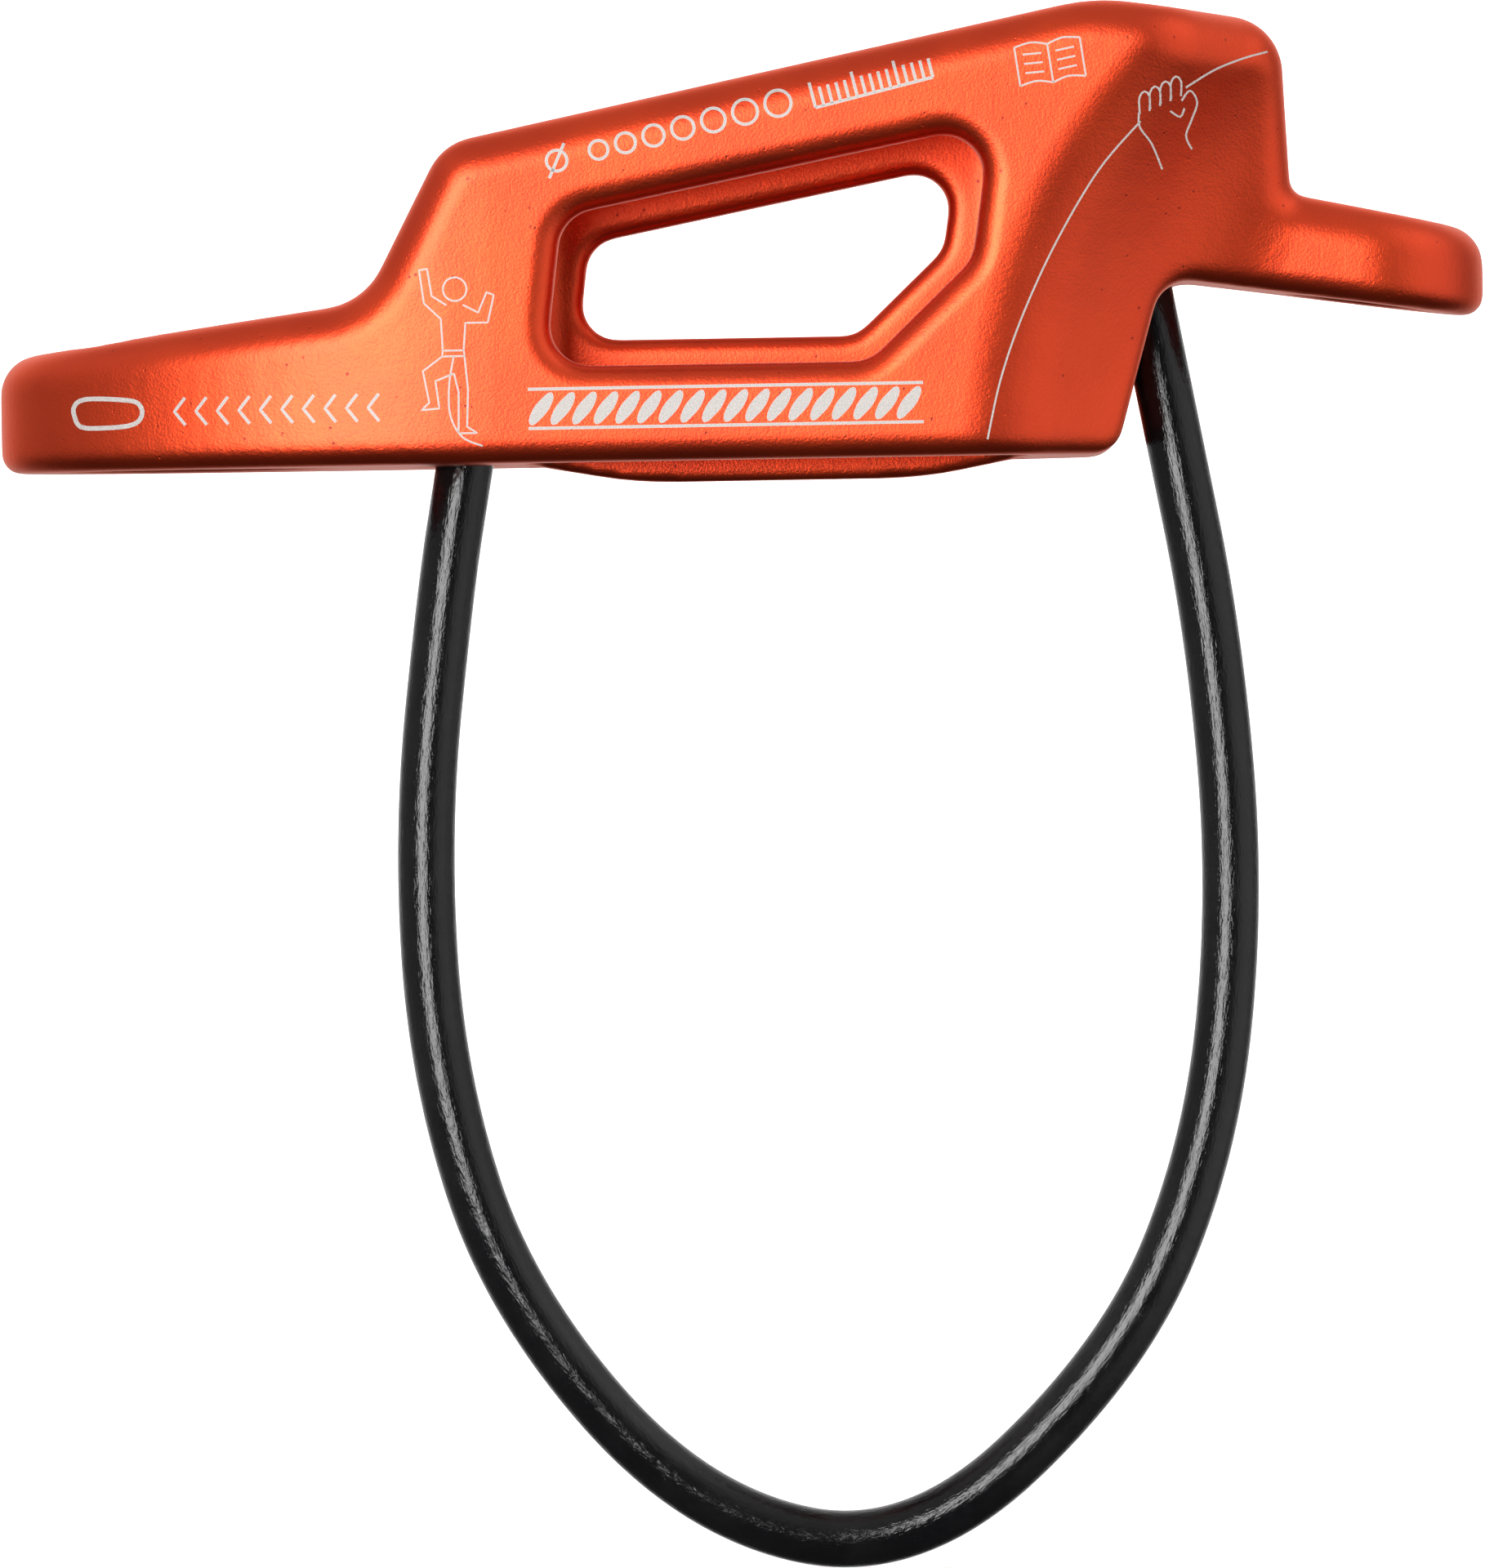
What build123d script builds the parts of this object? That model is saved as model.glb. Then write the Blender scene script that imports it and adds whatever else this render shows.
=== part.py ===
"""Two-slot tubular belay device with a guide-mode eye and a wire keeper loop.

Frame: millimetres, +Z up.  The ropes run down through two slots that lie side
by side across Y.  X runs along the slots, from the large anchor eye (-X) to
the brake side with the small release eye (+X).  The origin is the middle of
the flat under the centre web, where the belay carabiner bears.
"""
import os
from math import cos, pi, radians, sin, tan

from build123d import *

# ---------------------------------------------------------------- sizes (mm)
# across the device
rope_slot_width = 11.8          # passes ropes of 7.5 to 10.5 mm
web_thickness = 4.0
cheek_thickness = 4.2
body_width = 2 * (rope_slot_width + cheek_thickness) + web_thickness

# along the device
anchor_tip = -54.4
release_tip = 49.4
slot_start = -17.4
slot_length = 34.4
slot_corner_radius = 3.0

# side view of the body
cheek_bottom = 1.33             # how far the cheeks stay above the web's flat
anchor_arm_tip_height = 7.95    # height of the anchor arm at its tip
flank_foot = (-28.7, 12.7)      # where the anchor arm meets the flank
flank_lean = 27.3               # degrees from upright
shoulder_height = 23.6
crown = (22.4, 33.0)            # where the crest turns down
crown_slope = 8.0               # degrees, falling towards the brake face
brake_face = 35.3               # upright face above the release arm
brake_face_lean = 3.0           # degrees, outwards going down
foot_end = 23.4                 # end of the underside
foot_lean = 15.6                # degrees from upright, of the face under the arm
release_arm_top = 19.3          # arm's top where it leaves the brake face
release_arm_top_slope = 11.7    # degrees, falling outwards
release_arm_bottom = 13.6       # arm's underside where it leaves the foot face
release_arm_bottom_slope = 7.9

# corner radii of the side view
flank_foot_radius = 5.0
shoulder_radius = 4.0
crown_radius = 14.0
brake_corner_radius = 4.0
inner_corner_radius = 1.2
arm_root_radius = 2.5
foot_corner_radius = 2.2

# eyes
anchor_bore_radius = 8.5
anchor_rim = 5.0
release_bore_radius = 4.2
release_rim = 4.2

# in plan the cheeks round off towards the anchor end, and taper to the release
# arm on faces that bow outwards going up
anchor_round_start = -20.0
nose_start = 16.2               # where the taper starts, at z = 0
nose_length = 10.6
nose_bow = 42.5                 # radius of the arc on which the taper leans out
nose_corner_radius = 9.0
nose_root_radius = 16.0

# keel: the centre web stands below the cheeks, along the slots
keel_flat = 20.0                # length of its underside before the ends are rounded
keel_corner_radius = 30.0

# window through the web, and a larger one through each cheek
window_corners = [(-13.9, 10.0), (5.5, 10.0), (11.7, 15.9), (12.6, 21.8), (-13.05, 16.75)]
web_window_radius = 2.4
cheek_window_step = 2.0         # how much larger the cheeks' windows are all round
cheek_window_radius = 2.8

# brake grooves: a V in plan that leans outwards going up
groove_foot = 17.5              # height at which the V leaves the slot's end wall
groove_reach = 11.0             # how far the V reaches beyond the slot at the crown
groove_inset = 0.4              # how far inside the slot's side walls the V starts
groove_tip_radius = 1.4

# rounded and chamfered edges
upper_round = 2.8
lower_round = 1.4
anchor_eye_round = 1.8
release_eye_round = 1.0
cheek_window_round = 1.6
web_window_chamfer = 0.6

# keeper loop: a plastic-coated wire rope with swaged ends
cable_diameter = 4.0
wire_diameter = 2.4
jacket_clearance = 0.15         # radial, between jacket and bore
swing_gap = 0.3                 # between the loop's round ends and the fixed ends
mouth_flare = 1.3               # how much the left mouth widens at the exit
ferrule_length = 7.0
left_tuck = 5.0                 # from the left exit to its ferrule
right_tuck = 12.0               # from the right exit to its ferrule
arc_share = 0.45                # share of a run that a bend's arc may use

# the loop's route in the middle plane (x, z), from the left exit to the right
loop_route = [
    (-22.1, 1.0),
    (-23.5, -7.0),
    (-25.5, -24.0),
    (-24.7, -41.4),
    (-19.8, -57.2),
    (-7.2, -72.1),
    (8.1, -75.5),
    (23.0, -61.8),
    (29.4, -47.0),
    (31.4, -29.5),
    (30.2, -11.5),
    (27.2, 4.6),
]

# ------------------------------------------------------------ derived values
body_half = body_width / 2
body_top = crown[1]
slot_end = slot_start + slot_length
slot_middle = slot_start + slot_length / 2
slot_y = (web_thickness + rope_slot_width) / 2
anchor_eye_x = anchor_tip + anchor_rim + anchor_bore_radius
release_eye_x = release_tip - release_rim - release_bore_radius
release_arm_half = release_bore_radius + release_rim
cable_radius = cable_diameter / 2
wire_radius = wire_diameter / 2


def slope(angle):
    """Rise per unit run of a line at this angle in degrees."""
    return tan(radians(angle))


def leaning(angle):
    """Direction that leans from upright towards +X by this angle in degrees."""
    return Vector(sin(radians(angle)), 0, cos(radians(angle)))


# corners of the side view
flank_top_x = flank_foot[0] + (shoulder_height - flank_foot[1]) * slope(flank_lean)
brake_corner_z = crown[1] - (brake_face - crown[0]) * slope(crown_slope)
inner_corner_x = brake_face + (brake_corner_z - release_arm_top) * slope(brake_face_lean)
arm_root_x = foot_end + (release_arm_bottom - cheek_bottom) * slope(foot_lean)


def release_arm_top_at(x):
    return release_arm_top - (x - inner_corner_x) * slope(release_arm_top_slope)


def release_arm_bottom_at(x):
    return release_arm_bottom - (x - arm_root_x) * slope(release_arm_bottom_slope)


# the side view's corners, each with its radius; the tips are rounded later
side_corners = {
    (anchor_tip, cheek_bottom): 0,
    (foot_end, cheek_bottom): foot_corner_radius,
    (arm_root_x, release_arm_bottom): arm_root_radius,
    (release_tip, release_arm_bottom_at(release_tip)): 0,
    (release_tip, release_arm_top_at(release_tip)): 0,
    (inner_corner_x, release_arm_top): inner_corner_radius,
    (brake_face, brake_corner_z): brake_corner_radius,
    crown: crown_radius,
    (flank_top_x, shoulder_height): shoulder_radius,
    flank_foot: flank_foot_radius,
    (anchor_tip, cheek_bottom + anchor_arm_tip_height): 0,
}

# the brake end in plan: one side's corners, each with its radius, then the other's
nose_corners = {
    (anchor_tip - body_width, body_half): 0,
    (nose_start, body_half): nose_corner_radius,
    (nose_start + nose_length, release_arm_half): nose_root_radius,
    (release_tip + body_width, release_arm_half): 0,
}
nose_corners.update({(x, -y): r for (x, y), r in reversed(nose_corners.items())})


def nose_shift(height):
    """How far the taper has moved along X at this height: on an arc, upright at its foot."""
    return nose_bow - (nose_bow**2 - height**2) ** 0.5

# the keel's corners in the side view, each with its radius
keel_corners = {
    (slot_start, cheek_bottom): 0,
    (-keel_flat / 2, 0): keel_corner_radius,
    (keel_flat / 2, 0): keel_corner_radius,
    (slot_end, cheek_bottom): 0,
    (slot_end, cheek_bottom + web_thickness): 0,
    (slot_start, cheek_bottom + web_thickness): 0,
}

# the release eye's hole stands square to the arm's middle
release_eye = Plane(
    origin=(release_eye_x, 0, (release_arm_top_at(release_eye_x) + release_arm_bottom_at(release_eye_x)) / 2),
    z_dir=leaning((release_arm_top_slope + release_arm_bottom_slope) / 2),
)

# the brake grooves' V at its foot, and the way from there to the crown
groove_length = groove_reach + slot_corner_radius
groove_half = rope_slot_width / 2 - groove_inset
groove_way = Vector(groove_reach, 0, body_top - groove_foot)

# the cable's ends: planes at the exits whose normals point into the body
route = [Vector(x, 0, z) for x, z in loop_route]
left_exit = Plane(origin=route[0], z_dir=route[0] - route[1])
right_exit = Plane(origin=route[-1], z_dir=route[-1] - route[-2])
cable_ends = {left_exit: left_tuck, right_exit: right_tuck}


def across_faces(part):
    """The faces that run straight across the device: the side view's own faces."""
    return part.faces().filter_by(lambda face: abs(face.normal_at(0.2, 0.3).Y) < 0.001)


def bore_rims(part, radius):
    """The round edges at both mouths of the part's bores of this radius."""
    walls = part.faces().filter_by(GeomType.CYLINDER)
    walls = walls.filter_by(lambda face: abs(face.radius - radius) < 0.001)
    return walls.edges().filter_by(GeomType.LINE, reverse=True)


def window_edges(part, distance, margin):
    """Window edges on the wall faces that lie this far from the middle plane."""
    low_x, high_x = min(x for x, z in window_corners), max(x for x, z in window_corners)
    low_z, high_z = min(z for x, z in window_corners), max(z for x, z in window_corners)
    edges = part.edges().filter_by(Axis.Y, reverse=True)
    edges = edges.filter_by(lambda edge: all(abs(abs(v.Y) - distance) < 0.01 for v in edge.vertices()))
    edges = edges.filter_by_position(Axis.X, low_x - margin, high_x + margin)
    return edges.filter_by_position(Axis.Z, low_z - margin, high_z + margin)


os.makedirs("parts", exist_ok=True)

# ---------------------------------------------------------------------- body
with BuildPart() as body:
    with BuildSketch(Plane.XZ):
        with BuildLine():
            FilletPolyline(*side_corners, radius=side_corners.values(), close=True)
        make_face()
    extrude(amount=body_half, both=True)

    # in plan: half an ellipse round the anchor end, and half a circle round the release end
    with BuildSketch():
        with Locations((anchor_round_start, 0)):
            Ellipse(anchor_round_start - anchor_tip, body_half)
        with Locations(((anchor_round_start + release_eye_x) / 2, 0)):
            Rectangle(release_eye_x - anchor_round_start, body_width)
        with Locations((release_eye_x, 0)):
            Circle(release_arm_half)
    extrude(amount=body_top, mode=Mode.INTERSECT)

    with BuildPart(mode=Mode.INTERSECT):
        for height in (0, body_top / 2, body_top):
            with BuildSketch(Plane((nose_shift(height), 0, height))):
                with BuildLine():
                    FilletPolyline(*nose_corners, radius=nose_corners.values(), close=True)
                make_face()
        loft()

    # rims, between the faces that run straight across and the sides
    across = across_faces(body)
    rims = across.edges() & (body.faces() - across).edges()
    lower_rims = rims.filter_by_position(Axis.Z, cheek_bottom - 0.01, cheek_bottom + 0.01)
    fillet(lower_rims, lower_round)
    across = across_faces(body)
    rims = across.edges() & (body.faces() - across).edges()
    fillet(rims.filter_by_position(Axis.Z, cheek_bottom + 0.01, body_top), upper_round)
    print("rounded body", round(body.part.volume), body.part.is_valid)

    # keel under the centre web
    with BuildSketch(Plane.XZ):
        with BuildLine():
            FilletPolyline(*keel_corners, radius=keel_corners.values(), close=True)
        make_face()
    extrude(amount=web_thickness / 2, both=True)

    # eyes
    with Locations((anchor_eye_x, 0, 0)):
        Cylinder(anchor_bore_radius, 4 * body_top, mode=Mode.SUBTRACT)
    with Locations(release_eye):
        Cylinder(release_bore_radius, body_top / 2, mode=Mode.SUBTRACT)
    fillet(bore_rims(body, anchor_bore_radius), anchor_eye_round)
    fillet(bore_rims(body, release_bore_radius), release_eye_round)

    # rope slots
    with BuildSketch():
        with Locations((slot_middle, slot_y), (slot_middle, -slot_y)):
            RectangleRounded(slot_length, rope_slot_width, slot_corner_radius)
    extrude(amount=body_top, mode=Mode.SUBTRACT)

    # brake grooves: the V leaves the slot's end wall and leans out to the crown
    with BuildSketch(Plane.XY.offset(groove_foot)) as grooves:
        with Locations((slot_end - groove_length / 2, slot_y), (slot_end - groove_length / 2, -slot_y)):
            Polygon((-groove_length / 2, -groove_half), (groove_length / 2, 0),
                    (-groove_length / 2, groove_half), align=None)
        fillet(grooves.vertices().group_by(Axis.X)[-1], groove_tip_radius)
    extrude(amount=groove_way.length, dir=groove_way, mode=Mode.SUBTRACT)
    print("slots and grooves", round(body.part.volume), body.part.is_valid)

    # windows
    with BuildSketch(Plane.XZ):
        with BuildLine():
            FilletPolyline(*window_corners, radius=web_window_radius, close=True)
        make_face()
    extrude(amount=slot_y, both=True, mode=Mode.SUBTRACT)
    for side in (1, -1):
        with BuildSketch(Plane.XZ.offset(side * slot_y)) as cheek_window:
            Polygon(*window_corners, align=None)
            offset(amount=cheek_window_step, kind=Kind.INTERSECTION)
            fillet(cheek_window.vertices(), cheek_window_radius)
        extrude(amount=side * body_half, mode=Mode.SUBTRACT)
    chamfer(window_edges(body, web_thickness / 2, 0.01), web_window_chamfer)
    fillet(window_edges(body, body_half, cheek_window_step + 0.5), cheek_window_round)
    print("windows", round(body.part.volume), body.part.is_valid)

    # bores for the keeper's jacket and ferrules
    for exit_plane, tuck in cable_ends.items():
        with Locations(exit_plane.offset(-cable_diameter)):
            Cylinder(cable_radius + jacket_clearance, tuck + cable_diameter,
                     align=(Align.CENTER, Align.CENTER, Align.MIN), mode=Mode.SUBTRACT)
        with Locations(exit_plane.offset(tuck)):
            Cylinder(cable_radius, ferrule_length,
                     align=(Align.CENTER, Align.CENTER, Align.MIN), mode=Mode.SUBTRACT)
    with Locations(left_exit.offset(-mouth_flare)):
        Cone(cable_radius + 2 * mouth_flare, cable_radius, 2 * mouth_flare,
             align=(Align.CENTER, Align.CENTER, Align.MIN), mode=Mode.SUBTRACT)
    print("bores", round(body.part.volume), body.part.is_valid, len(body.solids()))

body.part.label = "belay_body"
export_step(body.part, "parts/belay_body.step")

# --------------------------------------------------------------- keeper loop
runs = [b - a for a, b in zip(route, route[1:])]
turns = [a.get_angle(b) for a, b in zip(runs, runs[1:])]
bend_radii = [
    arc_share * min(a.length, b.length) / tan(radians(turn) / 2)
    for a, b, turn in zip(runs, runs[1:], turns)
]
print("keeper bend radii", [round(r, 1) for r in bend_radii])


def swept(radius, name):
    """A round rod of this radius along the loop's route."""
    with BuildPart() as rod:
        with BuildLine() as path:
            FilletPolyline(*route, radius=bend_radii)
        with BuildSketch(Plane(origin=route[0], z_dir=runs[0])):
            Circle(radius)
        sweep(path=path.wires()[0])
    expected = path.wires()[0].length * pi * radius**2
    print(name, "length", round(path.wires()[0].length, 1), "volume", round(rod.part.volume, 1),
          "section times length", round(expected, 1))
    return rod.part


wire_rod = swept(wire_radius, "wire")
cable_rod = swept(cable_radius, "cable")

with BuildPart() as keeper_wire:
    add(wire_rod)
keeper_wire.part.label = "keeper_wire"
export_step(keeper_wire.part, "parts/keeper_wire.step")

with BuildPart() as keeper_jacket:
    add(cable_rod)
    with Locations(route[0], route[-1]):
        Sphere(cable_radius)
    add(wire_rod, mode=Mode.SUBTRACT)
keeper_jacket.part.label = "keeper_jacket"
export_step(keeper_jacket.part, "parts/keeper_jacket.step")

# ---------------------------------------------------------- fixed cable ends
fixed_from = cable_radius + swing_gap

with BuildPart() as jacket_ends:
    for exit_plane, tuck in cable_ends.items():
        with BuildSketch(exit_plane.offset(fixed_from)):
            Circle(cable_radius)
            Circle(wire_radius, mode=Mode.SUBTRACT)
        extrude(amount=tuck - fixed_from)
jacket_ends.part.label = "jacket_ends"
export_step(jacket_ends.part, "parts/jacket_ends.step")

with BuildPart() as wire_ends:
    for exit_plane, tuck in cable_ends.items():
        with BuildSketch(exit_plane.offset(fixed_from)):
            Circle(wire_radius)
        extrude(amount=tuck + ferrule_length - fixed_from)
wire_ends.part.label = "wire_ends"
export_step(wire_ends.part, "parts/wire_ends.step")

for name, (exit_plane, tuck) in zip(("ferrule_left", "ferrule_right"), cable_ends.items()):
    with BuildPart() as ferrule:
        with BuildSketch(exit_plane.offset(tuck)):
            Circle(cable_radius)
            Circle(wire_radius, mode=Mode.SUBTRACT)
        extrude(amount=ferrule_length)
    ferrule.part.label = name
    export_step(ferrule.part, "parts/" + name + ".step")
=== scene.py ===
# %% [markdown]
# # A belay device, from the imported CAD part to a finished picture
#
# The object is a climber's belay device: one forged and machined aluminium
# body, dyed orange, with a loop of plastic-coated wire rope under it that keeps
# it from being dropped.  The CAD part holds every size and the motion of the
# loop, and this script gives it soft edges, real finishes, laser marks and
# light.  Everything is in metres, in the CAD part's own frame: ropes run down
# along -Z, the long anchor arm points along -X, and the device is 36 mm wide
# across Y.

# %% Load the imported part
from math import cos, pi, radians, sin

import bmesh
import bpy
import numpy as np
from mathutils import Matrix, Vector
from mathutils.bvhtree import BVHTree


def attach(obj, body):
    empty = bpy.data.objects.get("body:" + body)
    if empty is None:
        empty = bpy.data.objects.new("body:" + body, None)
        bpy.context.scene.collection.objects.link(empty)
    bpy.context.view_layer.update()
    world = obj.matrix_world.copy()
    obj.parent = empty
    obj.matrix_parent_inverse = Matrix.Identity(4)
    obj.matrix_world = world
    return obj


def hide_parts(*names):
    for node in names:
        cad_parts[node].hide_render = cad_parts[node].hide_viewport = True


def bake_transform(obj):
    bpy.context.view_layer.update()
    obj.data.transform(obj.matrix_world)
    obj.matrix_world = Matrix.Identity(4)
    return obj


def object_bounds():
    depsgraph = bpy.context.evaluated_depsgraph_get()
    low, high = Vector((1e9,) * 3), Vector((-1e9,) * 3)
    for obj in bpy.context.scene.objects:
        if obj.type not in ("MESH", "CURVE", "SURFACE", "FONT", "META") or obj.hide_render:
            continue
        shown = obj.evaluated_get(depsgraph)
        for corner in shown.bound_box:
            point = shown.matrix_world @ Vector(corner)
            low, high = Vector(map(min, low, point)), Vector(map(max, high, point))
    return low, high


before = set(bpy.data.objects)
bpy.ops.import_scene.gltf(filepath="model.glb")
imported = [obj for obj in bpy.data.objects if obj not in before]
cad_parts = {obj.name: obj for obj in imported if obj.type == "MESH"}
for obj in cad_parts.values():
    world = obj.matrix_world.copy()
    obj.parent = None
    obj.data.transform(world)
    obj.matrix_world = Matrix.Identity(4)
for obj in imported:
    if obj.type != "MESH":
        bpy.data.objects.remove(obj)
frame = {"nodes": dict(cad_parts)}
nodes = frame["nodes"]
cad_box = [list(corner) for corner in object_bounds()]
scene = bpy.context.scene
mm = 0.001
print("CAD box in mm", [[round(value / mm, 1) for value in corner] for corner in cad_box])

# %% [markdown]
# ## Camera
#
# A product picture of something this small is taken from far away with a long
# lens, so that parallel edges stay parallel.  The camera stands 2 m in front of
# the side of the device, level, and is turned by one degree about its own axis,
# because the device hangs slightly off level.

# %% The camera, square to the side of the device
camera_distance = 2.0
view_centre = Vector((-3.0, 0, -21.2)) * mm
view_height = 109.7 * mm            # how much of the upright direction is seen
camera_roll = -1.0                  # degrees

camera = bpy.data.objects.new("camera", bpy.data.cameras.new("camera"))
scene.collection.objects.link(camera)
camera.data.angle = 2 * np.arctan(view_height / 2 / camera_distance)
camera.data.clip_end = 20
camera.matrix_world = (
    Matrix.Translation(view_centre - Vector((0, camera_distance, 0)))
    @ Matrix.Rotation(radians(90), 4, "X")
    @ Matrix.Rotation(radians(camera_roll), 4, "Z")
)
scene.camera = camera
print("lens", round(camera.data.lens), "mm")

# %% [markdown]
# ## The keeper loop's line
#
# The loop is a wire rope in a plastic coat.  It leaves the body on the left,
# hangs in a deep pear shape and goes back into the body on the right.  A NURBS
# spline through a few given control points bends like a stiff cable: its
# curvature changes smoothly, with no straight run that turns into an arc.  The
# first and last points lie in the bores, in line with the next two, so that the
# cable is straight where it enters the metal.

# %% Points along the loop, read from a NURBS spline
loop_route = [
    (-22.1, 1.0),
    (-23.5, -7.0),
    (-25.5, -24.0),
    (-24.7, -41.4),
    (-19.8, -57.2),
    (-7.2, -72.1),
    (8.1, -75.5),
    (23.0, -61.8),
    (29.4, -47.0),
    (31.4, -29.5),
    (30.2, -11.5),
    (27.2, 4.6),
]
route = [Vector((x, 0, z)) * mm for x, z in loop_route]
left_tuck, right_tuck = 5.0 * mm, 12.0 * mm     # how far the plastic coat goes into the body
ferrule_length = 7.0 * mm


def loop_line(beyond):
    """Points along the loop, from this far beyond the coat's left end to the same beyond its right end."""
    deep_left = route[0] + (route[0] - route[1]).normalized() * (left_tuck + beyond)
    deep_right = route[-1] + (route[-1] - route[-2]).normalized() * (right_tuck + beyond)
    curve = bpy.data.curves.new("loop_line", "CURVE")
    curve.dimensions = "3D"
    curve.resolution_u = 32
    spline = curve.splines.new("NURBS")
    control = [deep_left, *route, deep_right]
    spline.points.add(len(control) - 1)
    for point, place in zip(spline.points, control):
        point.co = (*place, 1)
    spline.order_u = 3
    spline.use_endpoint_u = True
    line = bpy.data.objects.new("loop_line", curve)
    mesh = bpy.data.meshes.new_from_object(line)
    points = [vertex.co.copy() for vertex in mesh.vertices]
    bpy.data.objects.remove(line)
    return points


def length_of(points):
    return sum((b - a).length for a, b in zip(points, points[1:]))


coat_line = loop_line(0)
wire_line = loop_line(ferrule_length)
print("coat", round(length_of(coat_line) / mm, 1), "mm in", len(coat_line), "points;",
      "wire", round(length_of(wire_line) / mm, 1), "mm")

# %% [markdown]
# ## A round rod along a line
#
# A curve object could make the coat by its bevel, but only a mesh can bend
# between two bodies when the loop swings.  So the rod is made ring by ring.  The
# line lies in the middle plane, which makes the rings easy to place: one
# direction is always Y, and the other is square to it and to the line.  Each
# point also keeps its place on the rod, around and along, for the finish.

# %% Rings of points, joined into a rod
across = Vector((0, 1, 0))


def spaced(points, step):
    """The same line with points about this far apart."""
    places = np.array(points)
    run = np.concatenate([[0], np.cumsum(np.linalg.norm(np.diff(places, axis=0), axis=1))])
    stations = np.linspace(0, run[-1], max(2, round(run[-1] / step)) + 1)
    return [Vector(p) for p in np.column_stack([np.interp(stations, run, places[:, i]) for i in range(3)])]


def add_rod(shape, line, radius, sides, offset=0.0, turns_per_metre=0.0, start_angle=0.0):
    """Adds to the bmesh a closed rod along the line, or along a helix at this offset round it."""
    layers = shape.verts.layers.float_vector
    place = layers.get("rod_place") or layers.new("rod_place")
    rings, run = [], 0.0
    for i, point in enumerate(line):
        ahead = (line[min(i + 1, len(line) - 1)] - line[max(i - 1, 0)]).normalized()
        normal = ahead.cross(across)
        if i:
            run += (point - line[i - 1]).length
        lean = start_angle + 2 * pi * turns_per_metre * run
        centre = point + (across * cos(lean) + normal * sin(lean)) * offset
        ring = []
        for k in range(sides):
            angle = 2 * pi * k / sides
            vertex = shape.verts.new(centre + (across * cos(angle) + normal * sin(angle)) * radius)
            vertex[place] = (radius * cos(angle), radius * sin(angle), run)
            ring.append(vertex)
        rings.append(ring)
    for a, b in zip(rings, rings[1:]):
        for k in range(sides):
            shape.faces.new((a[k - 1], a[k], b[k], b[k - 1]))
    shape.faces.new(rings[0])
    shape.faces.new(reversed(rings[-1]))


def finished_mesh(name, shape):
    """A smooth-shaded object from a bmesh."""
    bmesh.ops.recalc_face_normals(shape, faces=shape.faces)
    mesh = bpy.data.meshes.new(name)
    shape.to_mesh(mesh)
    shape.free()
    mesh.shade_smooth()
    made = bpy.data.objects.new(name, mesh)
    scene.collection.objects.link(made)
    return made


# %% The coat and the stranded wire rope in it
coat_diameter = 4.0 * mm
strand_radius = 0.4 * mm
outer_strands = 6                   # round a straight one in the middle
rope_lay = 16.0 * mm                # length in which a strand goes round once

shape = bmesh.new()
add_rod(shape, spaced(coat_line, 0.5 * mm), coat_diameter / 2, 40)
keeper_coat = finished_mesh("keeper_coat", shape)

shape = bmesh.new()
core = spaced(wire_line, 1.0 * mm)
add_rod(shape, core, strand_radius, 8)
for strand in range(outer_strands):
    add_rod(shape, core, strand_radius, 8, offset=2 * strand_radius,
            turns_per_metre=1 / rope_lay, start_angle=strand * 2 * pi / outer_strands)
keeper_rope = finished_mesh("keeper_rope", shape)
print("coat faces", len(keeper_coat.data.polygons), "rope faces", len(keeper_rope.data.polygons))

# %% [markdown]
# ## The loop's hinge line
#
# The loop swings about the line through its two exits.  Its ends stay in the
# body, and the rest moves with the keeper, so the cable has to bend where it leaves
# the metal.  Here the hinge line's direction and the way down, square to it, are
# found, the coat's and the rope's placements go into their meshes, and the CAD
# part's own jacket, wire and their ends are hidden.

hinge_way = (route[-1] - route[0]).normalized()
down = hinge_way.cross(across).normalized()
down = down if down.z < 0 else -down

for piece in (keeper_coat, keeper_rope):
    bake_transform(piece)
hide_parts("keeper_jacket", "jacket_ends")
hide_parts("keeper_wire", "wire_ends")

# %% [markdown]
# ## The body
#
# The real body is tumbled and bead-blasted after machining, so no edge on it is
# sharp, and the rope slots are rounded where the ropes run.  The CAD solid has
# exact faces and some crisp edges.  Here its surface is rebuilt as an even net
# of small squares by a voxel remesh, and a few rounds of smoothing wear every
# edge down by about half a millimetre, as tumbling does.

# %% Rebuild the body's skin with worn edges
skin_voxel = 0.30 * mm
wear_rounds = 9


def tumbled(node, name):
    """A copy of a CAD node with an even skin and softened edges."""
    made = bpy.data.objects.new(name, node.data.copy())
    made.data.materials.clear()
    scene.collection.objects.link(made)
    shape = bmesh.new()
    shape.from_mesh(made.data)
    bmesh.ops.remove_doubles(shape, verts=shape.verts, dist=0.0005 * mm)
    shape.to_mesh(made.data)
    shape.free()
    remesh = made.modifiers.new("even_skin", "REMESH")
    remesh.mode = "VOXEL"
    remesh.voxel_size = skin_voxel
    smooth = made.modifiers.new("tumbling", "SMOOTH")
    smooth.factor = 0.5
    smooth.iterations = wear_rounds
    view_layer = bpy.context.evaluated_depsgraph_get()
    mesh = bpy.data.meshes.new_from_object(made.evaluated_get(view_layer))
    made.modifiers.clear()
    made.data = mesh
    mesh.shade_smooth()
    return made


body = tumbled(nodes["belay_body"], "anodised_body")
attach(body, "device")
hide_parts("belay_body")
print("body faces", len(body.data.polygons))

# %% [markdown]
# ## A short way to write shader maths
#
# Node trees get long when each node is made by hand.  Three small classes keep
# them readable.  `Value` wraps a socket, so that `1 - mask * 0.5` adds the Math
# nodes it needs.  `Nodes` holds one node tree, and its `node` method makes any
# other node from its type, its settings and its inputs.  `Finish` is the tree of
# one material.

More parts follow.
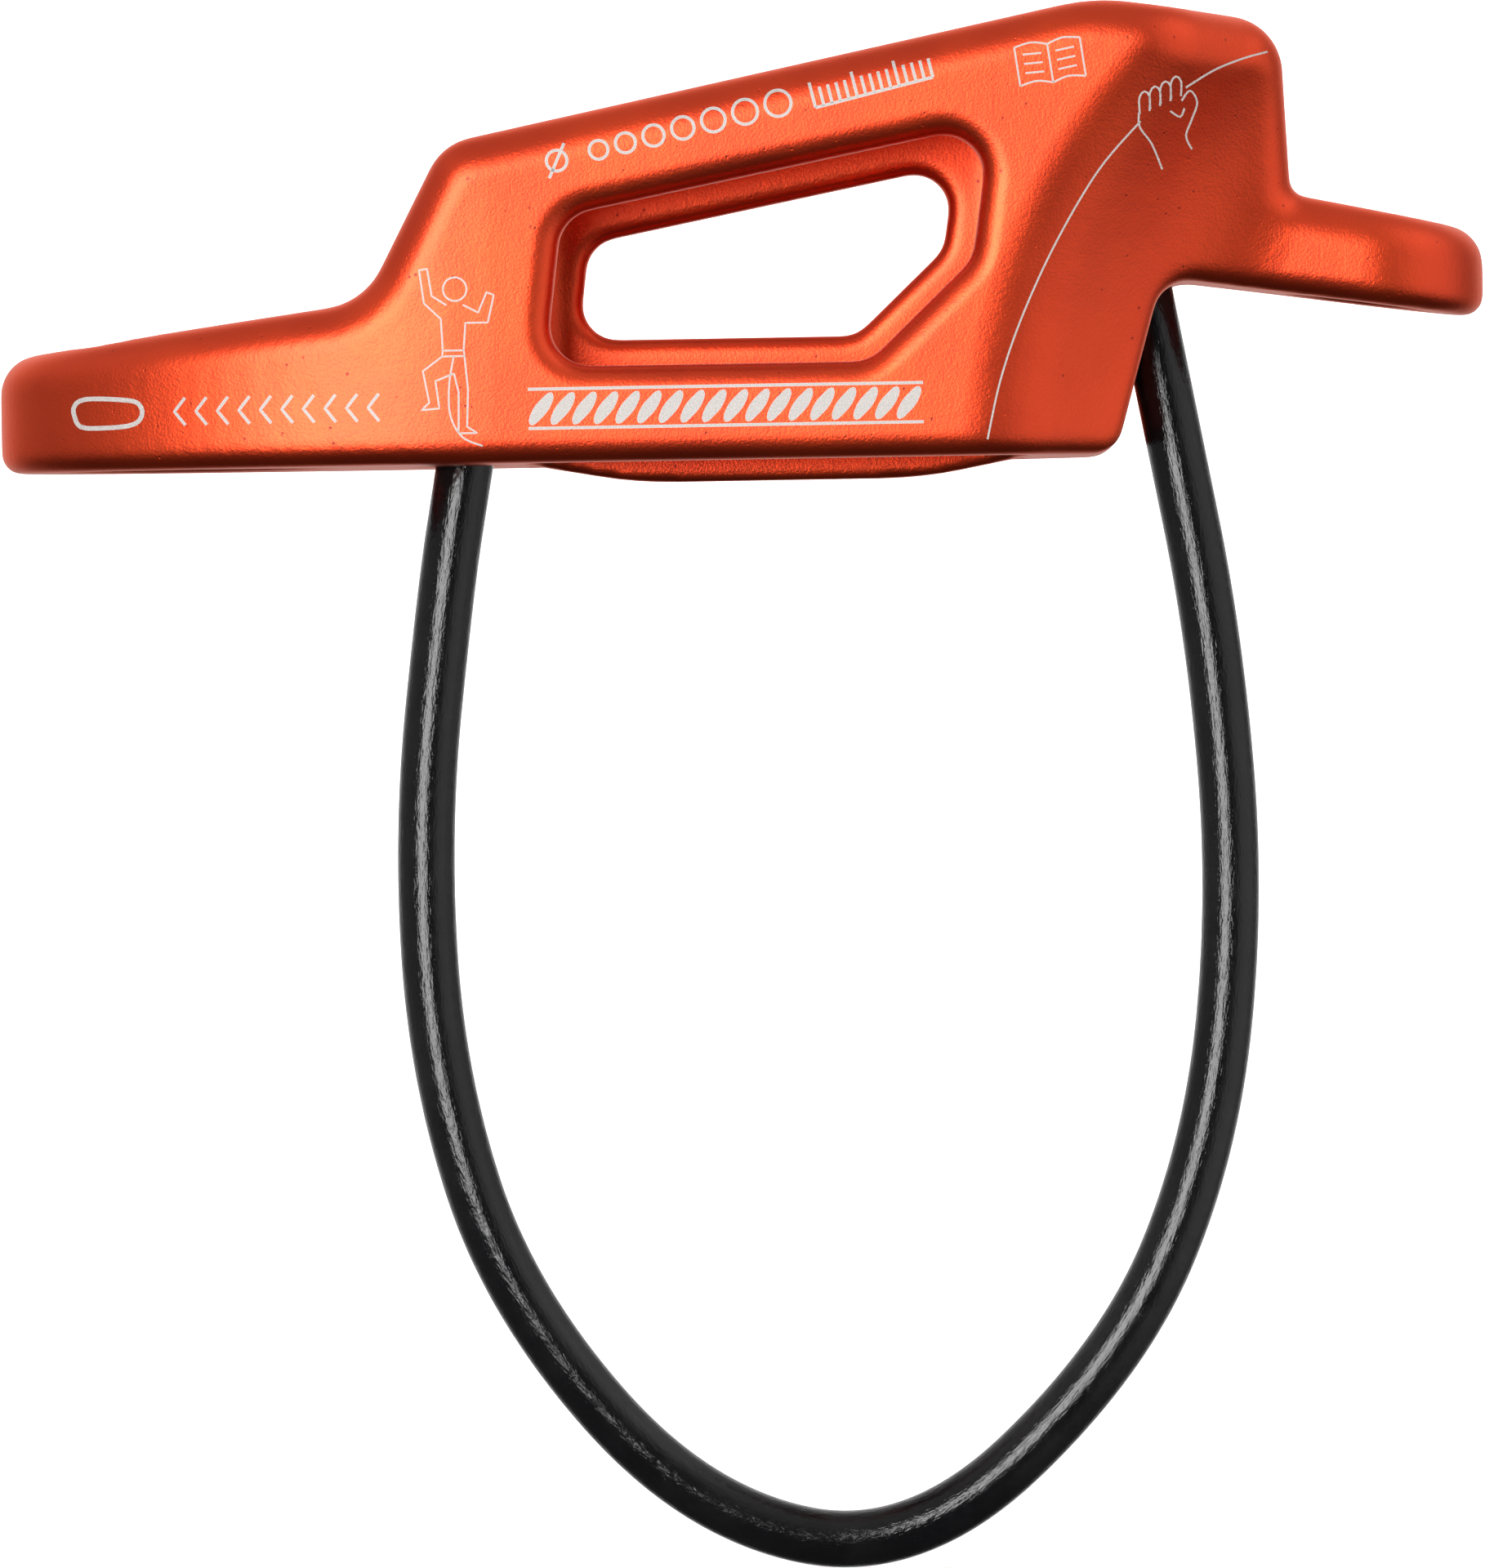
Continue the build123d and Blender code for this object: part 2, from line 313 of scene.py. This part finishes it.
# %% Classes for shader maths
class Value:
    """A node's output, with operators that add Math nodes."""

    def __init__(self, nodes, socket):
        self.nodes, self.socket = nodes, socket

    def math(self, operation, first, second):
        return self.nodes.node("ShaderNodeMath", {"operation": operation}, {0: first, 1: second})

    def __add__(self, other):
        return self.math("ADD", self, other)

    def __mul__(self, other):
        return self.math("MULTIPLY", self, other)

    def __sub__(self, other):
        return self.math("SUBTRACT", self, other)

    def __rsub__(self, other):
        return self.math("SUBTRACT", other, self)

    __radd__ = __add__
    __rmul__ = __mul__


class Nodes:
    """A node tree, and short ways to add to it."""

    a_colour, b_colour, result_colour = 6, 7, 2     # a colour Mix node's sockets

    def __init__(self, tree):
        self.tree = tree

    def fill(self, node, sockets):
        for key, value in sockets.items():
            if isinstance(value, Value):
                self.tree.links.new(value.socket, node.inputs[key])
            else:
                node.inputs[key].default_value = value

    def node(self, kind, settings=None, sockets=None, output=0):
        made = self.tree.nodes.new(kind)
        for key, value in (settings or {}).items():
            setattr(made, key, value)
        self.fill(made, sockets or {})
        return Value(self, made.outputs[output])

    def split(self, vector):
        """The three parts of a vector."""
        parts = self.node("ShaderNodeSeparateXYZ", {}, {0: vector}).socket.node
        return [Value(self, part) for part in parts.outputs]

    def place(self):
        """Where a point is on the piece, in metres."""
        return self.node("ShaderNodeTexCoord", output="Object")

    def noise(self, where, size, detail=2.0, roughness=0.5):
        """Noise from 0 to 1 whose grains are about this many metres across."""
        return self.node("ShaderNodeTexNoise", {},
                         {"Vector": where, "Scale": 1 / size, "Detail": detail, "Roughness": roughness})

    def between(self, value, low, high):
        """0 where the value is at low, 1 at high, smooth in between."""
        return self.node("ShaderNodeMapRange", {"interpolation_type": "SMOOTHSTEP"},
                         {"Value": value, "From Min": low, "From Max": high})

    def mix(self, share, a, b):
        return self.node("ShaderNodeMix", {"data_type": "RGBA"},
                         {0: share, self.a_colour: a, self.b_colour: b}, self.result_colour)

    def relief(self, height, depth):
        """A normal from a height of 0 to 1 that stands for this depth in metres."""
        return self.node("ShaderNodeBump", {}, {"Height": height, "Distance": depth, "Strength": 1.0})


class Finish(Nodes):
    """A material: its node tree with a Principled shader."""

    def __init__(self, name, constants):
        self.material = bpy.data.materials.new(name)
        self.material.use_nodes = True
        super().__init__(self.material.node_tree)
        self.shader = self.tree.nodes["Principled BSDF"]
        self.fill(self.shader, constants)

    def on(self, *pieces):
        for piece in pieces:
            piece.data.materials.clear()
            piece.data.materials.append(self.material)


# %% [markdown]
# ## Anodised aluminium
#
# The body is bead-blasted, then anodised: a clear oxide layer filled with orange
# dye over bright metal.  Light that goes through the dye comes back orange, and
# redder where it goes through at a slant.  Light that glances off the layer's
# surface stays white, which gives the pale rims.  So the shader is a metal with
# an orange base and a red edge tint, under a thin rough coat.  Blasting leaves a
# fine grain, and here and there a pit.

# %% The body's finish
bright_orange = (0.87, 0.070, 0.0125, 1)
deep_orange = (0.76, 0.055, 0.0105, 1)
pit_colour = (0.26, 0.012, 0.003, 1)

anodised = Finish("anodised_orange", {
    "Metallic": 1.0,
    "Specular Tint": (1.0, 0.55, 0.40, 1),
    "Coat Roughness": 0.38,
    "Coat IOR": 1.5,
    "Coat Weight": 0.45,
})
where = anodised.place()
clouds = anodised.noise(where, 9 * mm, detail=3)
grain = anodised.noise(where, 0.20 * mm, detail=2, roughness=0.6)
mottle = anodised.noise(where, 0.9 * mm, detail=2)
cells = anodised.node("ShaderNodeTexVoronoi", {"feature": "F1"}, {"Vector": where, "Scale": 1 / (0.9 * mm)})
chance = anodised.noise(where, 1.5 * mm, detail=0)
pits = anodised.between(cells, 0.14, 0.04) * anodised.between(chance, 0.50, 0.60)

dye = anodised.mix(anodised.between(clouds, 0.3, 0.7), deep_orange, bright_orange)
dye = anodised.mix(pits * 0.6, dye, pit_colour)
anodised.fill(anodised.shader, {
    "Base Color": dye,
    "Roughness": 0.35 + clouds * 0.05 + grain * 0.06,
    "Normal": anodised.relief(grain * 0.6 + mottle * 0.4 - pits * 0.6, 0.045 * mm),
})
anodised.on(body)

# %% [markdown]
# ## The plastic coat
#
# The coat is glossy black polyurethane, extruded over the rope.  Under a long
# window it shows one narrow highlight that is slightly broken, because the
# strands print through the plastic and the skin has a fine grain drawn out along
# the cable.  Both are relief, from the place that each point keeps on the rod.

# %% The coat's finish
coat = Finish("black_coat", {"Coat Weight": 0.0, "Specular IOR Level": 0.38})
on_rod = coat.node("ShaderNodeAttribute", {"attribute_name": "rod_place"}, output="Vector")
around_x, around_y, along = coat.split(on_rod)
angle = coat.node("ShaderNodeMath", {"operation": "ARCTAN2"}, {0: around_y, 1: around_x})
print_through = angle * outer_strands + along * (outer_strands * 2 * pi / rope_lay)
wave = coat.node("ShaderNodeMath", {"operation": "SINE"}, {0: print_through})
drawn = coat.node("ShaderNodeVectorMath", {"operation": "MULTIPLY"}, {0: on_rod, 1: (1, 1, 0.25)})
grain = coat.noise(drawn, 0.16 * mm, detail=3)
scuffs = coat.noise(on_rod, 3.0 * mm, detail=3)
coat.fill(coat.shader, {
    "Base Color": coat.mix(coat.between(scuffs, 0.35, 0.75),
                           (0.0035, 0.0035, 0.004, 1), (0.006, 0.006, 0.0065, 1)),
    "Roughness": 0.05 + scuffs * 0.05 + grain * 0.10,
    "Normal": coat.relief(grain * 0.75 + wave * 0.06, 0.045 * mm),
})
coat.on(keeper_coat)

# %% [markdown]
# ## Wire rope and ferrules
#
# Both are bare metal inside the body: galvanised steel strands, and aluminium
# ferrules swaged on the rope's ends.  They show only down the bores, but they
# get real finishes all the same, a dull mottled zinc and a brighter
# metal with rings from the swaging dies.

# %% The rope's and the ferrules' finishes
zinc = Finish("galvanised_wire", {"Metallic": 1.0})
bloom = zinc.noise(zinc.place(), 0.6 * mm, detail=3)
zinc.fill(zinc.shader, {
    "Base Color": zinc.mix(bloom, (0.42, 0.43, 0.45, 1), (0.62, 0.63, 0.64, 1)),
    "Roughness": 0.35 + bloom * 0.2,
    "Normal": zinc.relief(bloom, 0.01 * mm),
})
zinc.on(keeper_rope)

swaged = Finish("swaged_aluminium", {"Metallic": 1.0})
rings = swaged.node("ShaderNodeTexWave", {"wave_type": "BANDS", "bands_direction": "Z"},
                    {"Vector": swaged.place(), "Scale": 1 / (2.5 * mm), "Distortion": 0.4, "Detail": 1.0})
scratches = swaged.noise(swaged.place(), 0.3 * mm, detail=4)
swaged.fill(swaged.shader, {
    "Base Color": swaged.mix(scratches, (0.66, 0.66, 0.67, 1), (0.80, 0.80, 0.81, 1)),
    "Roughness": 0.28 + scratches * 0.2,
    "Normal": swaged.relief(rings * 0.6 + scratches * 0.4, 0.02 * mm),
})
swaged.on(nodes["ferrule_left"], nodes["ferrule_right"])

# %% [markdown]
# ## Laser marks
#
# A laser burns the dye out of the oxide and leaves pale, dull lines.  Drawn in a
# texture they would blur at this size, so each line is a thin strip of mesh laid
# on the body: its points are drawn flat, in the plane of the side view, and
# dropped on the near cheek by a ray.  The marks are signs of the maker's kind
# with no letters: rope sizes, a booklet, the climber's end, the brake hand, the
# anchor's end, and a twisted rope for ornament.

# %% Strips laid on the near cheek
skin = BVHTree.FromObject(body, bpy.context.evaluated_depsgraph_get())
burn_height, burn_depth = 0.012 * mm, 0.030 * mm    # of a strip, over and under the skin
ray_start = -50                                     # in mm across, well clear of the near cheek
marks = []


def on_cheek(x, z):
    """The point of the near cheek at x, z in mm, and the skin's normal there."""
    place, normal, _, _ = skin.ray_cast(Vector((x, ray_start, z)) * mm, across)
    return place, normal


def curve_through(points, step=0.25):
    """Points every so many mm on a smooth curve through these (a Catmull-Rom spline)."""
    knots = np.array([points[0], *points, points[-1]], float)
    made = []
    for a, b, c, d in zip(knots, knots[1:], knots[2:], knots[3:]):
        count = max(1, round(np.linalg.norm(c - b) / step))
        for t in np.arange(count) / count:
            made.append((2 * b + (c - a) * t + (2 * a - 5 * b + 4 * c - d) * t**2
                         + (3 * b - a - 3 * c + d) * t**3) / 2)
    return [*made, knots[-1]]


def straight(points, step=0.25):
    """Points every so many mm on straight runs between these."""
    made = []
    for a, b in zip(np.array(points[:-1], float), np.array(points[1:], float)):
        count = max(1, round(np.linalg.norm(b - a) / step))
        made.extend(a + (b - a) * t for t in np.arange(count) / count)
    return [*made, np.array(points[-1], float)]


def ring(centre, radius, start=0, end=360):
    """Points on an arc, angles in degrees."""
    count = max(8, round(abs(end - start) / 15))
    angles = np.radians(np.linspace(start, end, count + 1))
    return [np.array(centre) + radius * np.array((cos(a), sin(a))) for a in angles]


def add_strip(shape, line, width, tapered=False):
    """Adds a strip this many mm wide along a flat line, with its back sunk in the skin."""
    line = np.array(line)
    widths = np.full(len(line), width)
    if tapered:
        widths = width * np.sqrt(np.sin(pi * np.linspace(0.01, 0.99, len(line))))
    ways = np.gradient(line, axis=0)
    if np.allclose(line[0], line[-1]):
        ways[0] = ways[-1] = line[1] - line[-2]
    ways /= np.maximum(np.linalg.norm(ways, axis=1), 1e-9)[:, None]
    sides = np.column_stack([-ways[:, 1], ways[:, 0]]) * widths[:, None] / 2
    rings = []
    for point, side in zip(line, sides):
        spots = [on_cheek(*(point + side)), on_cheek(*(point - side))]
        rings.append([shape.verts.new(place + normal * lift)
                      for place, normal in spots for lift in (burn_height, -burn_depth)])
    for (a0, a1, a2, a3), (b0, b1, b2, b3) in zip(rings, rings[1:]):
        for corners in ((a0, b0, b2, a2), (a1, a3, b3, b1), (a0, a1, b1, b0), (a2, b2, b3, a3)):
            shape.faces.new(corners)
    for a0, a1, a2, a3 in (rings[0], rings[-1]):
        shape.faces.new((a0, a2, a3, a1))


def lay_mark(name, strokes):
    """One mark on the body from its strokes: a line, a width in mm, and whether it tapers."""
    shape = bmesh.new()
    for stroke in strokes:
        add_strip(shape, *stroke)
    mark = finished_mesh(name, shape)
    mark.data.shade_flat()
    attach(mark, "device")
    marks.append(mark)


# %% [markdown]
# The marks follow the body: rope sizes run along the crest, between the window
# and the top edge, and the twisted rope runs under the window.

# %% Rope sizes: a diameter sign, growing rings and a scale
hair, fine, bold = 0.13, 0.22, 0.32             # widths of strokes, in mm
crest_start = np.array((-16.1, 22.0))
crest_end = np.array((14.6, 29.4))
crest_way = (crest_end - crest_start) / np.linalg.norm(crest_end - crest_start)
crest_up = np.array((-crest_way[1], crest_way[0]))


def on_crest(along, up=0.0):
    return crest_start + crest_way * along + crest_up * up


first_ring, ring_gap, ring_scale = 4.0, 0.62, 11.5      # a ring's radius is the rope's diameter over the last
ticks, tick_gap, scale_foot = 15, 0.6, -0.95

strokes = [(ring(on_crest(1.0), 0.72), fine),
           (straight([on_crest(0.2, -1.05), on_crest(1.8, 1.05)]), fine)]
along = first_ring
for rope_diameter in (7.5, 8.0, 8.5, 9.0, 9.5, 10.0, 10.5):
    radius = rope_diameter / ring_scale
    strokes.append((ring(on_crest(along), radius), fine))
    along += 2 * radius + ring_gap
for tick in range(ticks):
    tick_place = along + tick_gap * tick
    tick_top = 0.85 if tick % 5 == 0 else 0.4
    strokes.append((straight([on_crest(tick_place, scale_foot), on_crest(tick_place, tick_top)]), fine))
scale_end = along + tick_gap * (ticks - 1)
strokes.append((straight([on_crest(along, scale_foot), on_crest(scale_end, scale_foot)]), fine))
lay_mark("mark_rope_sizes", strokes)

# %% A booklet: read the instructions
book_centre = np.array((19.2, 28.4))
book_up = np.array((-0.14, 0.99))
book_right = np.array((0.99, 0.14))


def in_book(right, up):
    return book_centre + book_right * right + book_up * up


strokes = [(straight([in_book(0, -1.35), in_book(0, 1.35)]), hair)]
for side in (-1, 1):
    for edge in (-1.35, 1.35):
        strokes.append((curve_through([in_book(0, edge), in_book(side * 1.1, edge + 0.28),
                                       in_book(side * 2.3, edge + 0.1)]), hair))
    strokes.append((straight([in_book(side * 2.3, -1.25), in_book(side * 2.3, 1.45)]), hair))
    for row in (-0.5, 0.15, 0.8):
        strokes.append((straight([in_book(side * 0.5, row), in_book(side * 1.8, row + 0.08)]), hair))
lay_mark("mark_booklet", strokes)

# %% A twisted rope under the window
twist_turns, twist_start, twist_step, twist_width = 18, -17.0, 1.5, 0.92
twist_shape = np.array([(-0.25, 3.95), (0.15, 4.6), (0.85, 5.5), (1.25, 6.15)])

strokes = [(curve_through(twist_shape + (twist_start + twist_step * turn, 0)), twist_width, True)
           for turn in range(twist_turns)]
strokes += [(straight([(-17.4, z), (10.0, z)]), fine) for z in (3.70, 6.42)]
lay_mark("mark_twist", strokes)

# %% The anchor's end: a carabiner and chevrons that point to the eye
carabiner = [(-48.9, 4.75), (-48.2, 4.35), (-45.2, 4.45), (-44.3, 5.1), (-44.5, 5.95), (-45.6, 6.25),
             (-48.3, 6.35), (-49.1, 5.75), (-48.9, 4.75)]
chevrons, chevron_start, chevron_step = 10, -42.0, 1.5

strokes = [(curve_through(carabiner), bold)]
for chevron in range(chevrons):
    x = chevron_start + chevron_step * chevron
    strokes.append((straight([(x + 0.75, 4.4), (x, 5.35), (x + 0.75, 6.3)]), fine))
lay_mark("mark_anchor_end", strokes)

# %% The climber's end: a small figure with the rope running down
climber_foot = np.array((-22.5, 2.9))


def figure(*points):
    """A line of the figure, from points in mm above and beside its foot."""
    return straight([climber_foot + point for point in np.array(points)], step=0.2)


strokes = [(line, hair) for line in (
    # head, arms, harness, legs
    ring(climber_foot + (0.15, 10.55), 0.82),
    figure((-0.75, 6.3), (-0.85, 8.5), (-2.0, 9.6), (-2.3, 11.9), (-1.75, 12.0), (-1.45, 10.1),
           (-0.45, 9.45)),
    figure((0.7, 9.45), (1.75, 8.9), (2.35, 10.3), (2.85, 10.1), (2.4, 8.2), (0.85, 8.2), (0.7, 6.3)),
    figure((-0.75, 6.3), (0.7, 6.3), (0.75, 5.9), (-0.8, 5.9), (-0.75, 6.3)),
    figure((0.75, 5.9), (0.95, 3.6), (0.85, 1.0), (1.55, 0.55), (0.25, 0.55), (0.3, 3.4), (0.0, 4.7)),
    figure((-0.8, 5.9), (-2.15, 4.9), (-1.75, 2.7), (-2.3, 2.2), (-1.05, 2.3), (-1.3, 4.2), (0.0, 4.7)),
    # the rope
    curve_through([climber_foot + point for point in
                   ((0.0, 5.9), (-0.35, 3.9), (-0.3, 1.8), (0.5, 0.3), (1.9, -0.35))]),
)]
lay_mark("mark_climber_end", strokes)

# %% The brake hand's end: a rope that rises over the nose, held in a fist
finger_shape = np.array([(-0.34, -1.1), (-0.36, 0), (0, 0.45), (0.36, 0.1), (0.34, -0.9)])
first_finger, finger_step = np.array((25.7, 25.9)), np.array((0.74, 0.34))

lines = [
    # the rope below the fist and beyond it
    [(14.4, 2.4), (15.4, 6.6), (17.0, 11.0), (19.4, 16.0), (22.4, 20.9), (25.4, 24.3)],
    [(28.6, 26.6), (30.6, 27.8), (32.6, 28.6), (34.4, 29.1)],
    *(first_finger + finger_step * finger + finger_shape for finger in range(4)),
    # the wrist's near side, then the thumb with the wrist's far side
    [(25.3, 24.9), (25.35, 23.9), (26.2, 22.7), (26.9, 21.0)],
    [(28.3, 25.7), (28.9, 26.4), (29.4, 25.6), (29.0, 24.4), (28.6, 23.3), (29.0, 22.4)],
    [(27.5, 25.0), (28.2, 24.6), (28.5, 25.2)],
]
strokes = [(curve_through(line), hair) for line in lines]
lay_mark("mark_brake_hand", strokes)
print("marks", [mark.name for mark in marks])

# %% The marks' finish: burnt-out dye, pale and dull
burnt = Finish("laser_mark", {"Metallic": 0.2})
speckle = burnt.noise(burnt.place(), 0.12 * mm, detail=2)
burnt.fill(burnt.shader, {
    "Base Color": burnt.mix(speckle, (0.34, 0.31, 0.29, 1), (0.60, 0.57, 0.55, 1)),
    "Roughness": 0.45 + speckle * 0.2,
    "Normal": burnt.relief(speckle, 0.01 * mm),
})
burnt.on(*marks)

# %% [markdown]
# ## Floor and light
#
# The picture is plain: a pale sweep that is floor in front and wall behind, and
# soft light.  Most of it comes from a broad panel on the camera's side, because
# that is where a blasted metal side shows its colour, and it leaves the faces
# that look up, down or away darker.  The bright wall behind is what the rims
# reflect.

# %% A sweep of floor and wall
floor_height = cad_box[0][2] - 0.2 * mm
floor_front, wall_distance, sweep_radius, half_width, wall_height = -2.6, 0.9, 0.5, 4.0, 1.8
arc_steps = 16

profile = [(floor_front, floor_height)]
for angle in np.linspace(0, pi / 2, arc_steps + 1):
    profile.append((wall_distance - sweep_radius + sweep_radius * sin(angle),
                    floor_height + sweep_radius - sweep_radius * cos(angle)))
profile.append((wall_distance, floor_height + wall_height))
shape = bmesh.new()
edges = [[shape.verts.new((x, y, z)) for y, z in profile] for x in (-half_width, half_width)]
for i in range(len(profile) - 1):
    shape.faces.new((edges[0][i], edges[1][i], edges[1][i + 1], edges[0][i + 1]))
sweep = finished_mesh("floor_sweep", shape)
sweep.visible_glossy = False         # the metal reflects the tent, not the paper under it

paper = Finish("pale_paper", {"Roughness": 0.9, "Specular IOR Level": 0.2,
                              "Emission Color": (1, 1, 1, 1), "Emission Strength": 0.25})
fibres = paper.noise(paper.place(), 40 * mm, detail=4)
paper.fill(paper.shader, {"Base Color": paper.mix(fibres, (0.86, 0.86, 0.855, 1), (0.88, 0.88, 0.875, 1))})

# the sheet's faces look outwards, and from there it is clear, so that it never hides the device
from_inside = paper.node("ShaderNodeNewGeometry", output="Backfacing")
clear = paper.node("ShaderNodeBsdfTransparent")
white = Value(paper, paper.shader.outputs[0])
one_sided = paper.node("ShaderNodeMixShader", {}, {0: from_inside, 1: clear, 2: white})
paper.fill(paper.tree.nodes["Material Output"], {"Surface": one_sided})
paper.on(sweep)

# %% Lamps and the room's own light


def panel(name, place, target, width, height, watts):
    """A soft rectangular lamp that faces its target."""
    lamp = bpy.data.objects.new(name, bpy.data.lights.new(name, "AREA"))
    lamp.data.shape = "RECTANGLE"
    lamp.data.size, lamp.data.size_y = width, height
    lamp.data.energy = watts
    lamp.location = place
    lamp.rotation_euler = (Vector(target) - Vector(place)).to_track_quat("-Z", "Y").to_euler()
    scene.collection.objects.link(lamp)


def around(azimuth, elevation, distance):
    """A place round the device: azimuth in degrees to the right of the camera, elevation above it."""
    a, e = radians(azimuth), radians(elevation)
    return (distance * sin(a) * cos(e), -distance * cos(a) * cos(e), distance * sin(e))


panel("front_panel", around(-19, 6, 1.4), (0, 0, 0), 0.72, 0.75, 21)
panel("wall_light", (0, 0.12, 0.8), (0, 0.9, 0.8), 2.4, 0.8, 22)

# the room: a white tent that is bright behind the device, dimmer beside and above, dark below
room = bpy.data.worlds.new("room")
room.use_nodes = True
tent = Nodes(room.node_tree)
side_way, depth_way, up_way = tent.split(tent.node("ShaderNodeTexCoord", output="Generated"))
behind = tent.between(depth_way, 0.45, 0.95) * tent.between(up_way, -0.75, -0.15)
above = tent.between(up_way, 0.1, 0.9)
right = (tent.between(side_way, 0.3, 0.8) * tent.between(up_way, -0.8, -0.2)
         * tent.between(depth_way, 0.75, -0.15))
left = tent.between(side_way, -0.35, -0.9) * tent.between(up_way, -0.6, 0.0)
tent.fill(room.node_tree.nodes["Background"], {
    "Color": (1.0, 0.985, 0.985, 1),
    "Strength": 0.05 + behind * 0.95 + above * 0.46 + right * 0.85 + left * 0.30,
})
scene.world = room
scene.view_settings.view_transform = "Standard"
